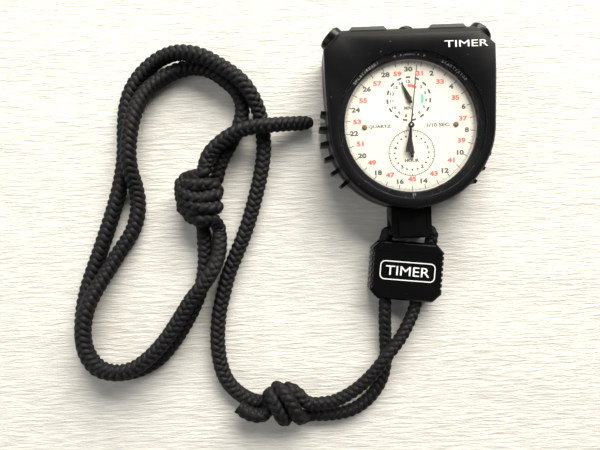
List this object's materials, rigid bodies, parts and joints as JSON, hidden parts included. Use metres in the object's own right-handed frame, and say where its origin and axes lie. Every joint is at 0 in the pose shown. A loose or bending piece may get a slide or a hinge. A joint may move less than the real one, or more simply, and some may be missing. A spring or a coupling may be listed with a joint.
{
  "type": "stopwatch",
  "caption": "Quartz analogue hand stopwatch in a black case, with corner pushers, a mode button, and a knotted neck cord with a slider",
  "frame": {"origin": "centre of the back's resting face, on the dial's axis", "axes": "+Z out of the dial, +Y towards 12 o'clock, +X towards 3 o'clock"},
  "size_m": [0.1636, 0.1497, 0.0175],
  "materials": {
    "black_plastic": "satin moulded black plastic",
    "gloss_plastic": "glossy black plastic",
    "crystal_plastic": "clear polished crystal",
    "dial_paint": "warm white printed dial",
    "brass": "plain brass",
    "steel": "plain steel",
    "copper": "wound enamelled copper wire",
    "rubber": "soft black rubber",
    "board": "green solder mask",
    "white_resin": "white moulded resin",
    "black_paint": "black painted metal",
    "cord_fabric": "braided black polyester"
  },
  "bodies": {
    "case": {"battery_cell": "steel", "battery_contact_minus": "brass", "battery_contact_plus": "brass", "case_gasket": "rubber", "case_screw_left": "steel", "case_screw_right": "steel", "circuit_board": "board", "coil_core": "steel", "coil_winding": "copper", "cord_left": "cord_fabric", "cord_right": "cord_fabric", "crystal": "crystal_plastic", "dial": "dial_paint", "dial_screw_left": "brass", "dial_screw_right": "brass", "free_end": "cord_fabric", "front_case": "black_plastic", "knot_lower": "cord_fabric", "knot_upper": "cord_fabric", "lanyard_lug": "black_plastic", "legend_ring": "black_plastic", "lug_screw_left": "steel", "lug_screw_right": "steel", "main_plate": "white_resin", "mode_spring": "steel", "movement_screw_1": "steel", "movement_screw_2": "steel", "movement_screw_3": "steel", "neck_inner": "cord_fabric", "neck_outer": "cord_fabric", "quartz_can": "steel", "rear_case": "black_plastic", "split_reset_blade": "brass", "split_reset_spring": "steel", "start_stop_blade": "brass", "start_stop_spring": "steel", "stator": "steel", "timing_chip": "gloss_plastic", "train_bridge": "brass"},
    "sweep": {"sweep_hand": "black_paint", "sweep_arbor": "steel"},
    "minute": {"minute_hand": "black_paint", "minute_arbor": "steel"},
    "hour": {"hour_hand": "black_paint", "hour_arbor": "steel"},
    "third": {"third_wheel": "brass"},
    "step": {"step_wheel": "brass"},
    "rotor": {"rotor": "steel"},
    "minute_idler": {"minute_idler": "brass"},
    "hour_idler": {"hour_idler": "brass"},
    "transfer": {"transfer_wheel": "brass"},
    "start_stop": {"start_stop_pusher": "black_plastic", "start_stop_clip": "steel"},
    "split_reset": {"split_reset_pusher": "black_plastic", "split_reset_clip": "steel"},
    "mode": {"mode_button": "black_plastic"},
    "hatch": {"battery_cover": "black_plastic", "battery_cover_seal": "rubber"},
    "slider": {"slider_front": "gloss_plastic", "slider_back": "gloss_plastic"}
  },
  "joints": [
    {"name": "sweep_turn", "type": "hinge", "parent": "case", "child": "sweep", "pos_m": [0, 0, 0.0146], "axis": [0, 0, 1], "continuous": true},
    {"name": "minute_turn", "type": "hinge", "parent": "case", "child": "minute", "pos_m": [-0.0002, 0.0099, 0.0137], "axis": [0, 0, 1], "continuous": true},
    {"name": "hour_turn", "type": "hinge", "parent": "case", "child": "hour", "pos_m": [0.0002, -0.0099, 0.0137], "axis": [0, 0, 1], "continuous": true},
    {"name": "third_turn", "type": "hinge", "parent": "case", "child": "third", "pos_m": [-0.00789, -0.00287, 0.0068], "axis": [0, 0, 1], "continuous": true},
    {"name": "step_turn", "type": "hinge", "parent": "case", "child": "step", "pos_m": [-0.00871, 0.00428, 0.006], "axis": [0, 0, 1], "continuous": true},
    {"name": "rotor_turn", "type": "hinge", "parent": "case", "child": "rotor", "pos_m": [-0.0064, 0.0111, 0.0068], "axis": [0, 0, 1], "continuous": true},
    {"name": "minute_idler_turn", "type": "hinge", "parent": "case", "child": "minute_idler", "pos_m": [-0.00519, 0.005, 0.0083], "axis": [0, 0, 1], "continuous": true},
    {"name": "hour_idler_turn", "type": "hinge", "parent": "case", "child": "hour_idler", "pos_m": [-0.007, -0.00176, 0.009], "axis": [0, 0, 1], "continuous": true},
    {"name": "transfer_turn", "type": "hinge", "parent": "case", "child": "transfer", "pos_m": [-0.00724, -0.00895, 0.009], "axis": [0, 0, 1], "continuous": true},
    {"name": "start_stop_press", "type": "slide", "parent": "case", "child": "start_stop", "axis": [-0.7071, -0.7071, 0], "range_m": [0, 0.0012], "stiffness_N_per_m": 900, "deforming": ["start_stop_spring"]},
    {"name": "split_reset_press", "type": "slide", "parent": "case", "child": "split_reset", "axis": [0.7071, -0.7071, 0], "range_m": [0, 0.0012], "stiffness_N_per_m": 900, "deforming": ["split_reset_spring"]},
    {"name": "mode_press", "type": "slide", "parent": "case", "child": "mode", "axis": [0, -1, 0], "range_m": [0, 0.0008], "stiffness_N_per_m": 700, "deforming": ["mode_spring"]},
    {"name": "hatch_turn", "type": "hinge", "parent": "case", "child": "hatch", "pos_m": [0.0145, 0.01, 0.0009], "axis": [0, 0, 1], "range_deg": [0, 60]},
    {"name": "slider_slide", "type": "slide", "parent": "case", "child": "slider", "axis": [-0.1132, -0.9936, 0], "range_m": [0, 0.006]}
  ],
  "couplings": [
    {"joint": "minute_turn", "follows": "sweep_turn", "ratio": 0.033333},
    {"joint": "hour_turn", "follows": "sweep_turn", "ratio": 0.0016667},
    {"joint": "third_turn", "follows": "sweep_turn", "ratio": -6},
    {"joint": "step_turn", "follows": "sweep_turn", "ratio": 30},
    {"joint": "rotor_turn", "follows": "sweep_turn", "ratio": -150},
    {"joint": "minute_idler_turn", "follows": "sweep_turn", "ratio": -0.2},
    {"joint": "hour_idler_turn", "follows": "sweep_turn", "ratio": 0.033333},
    {"joint": "transfer_turn", "follows": "sweep_turn", "ratio": -0.0066667}
  ]
}
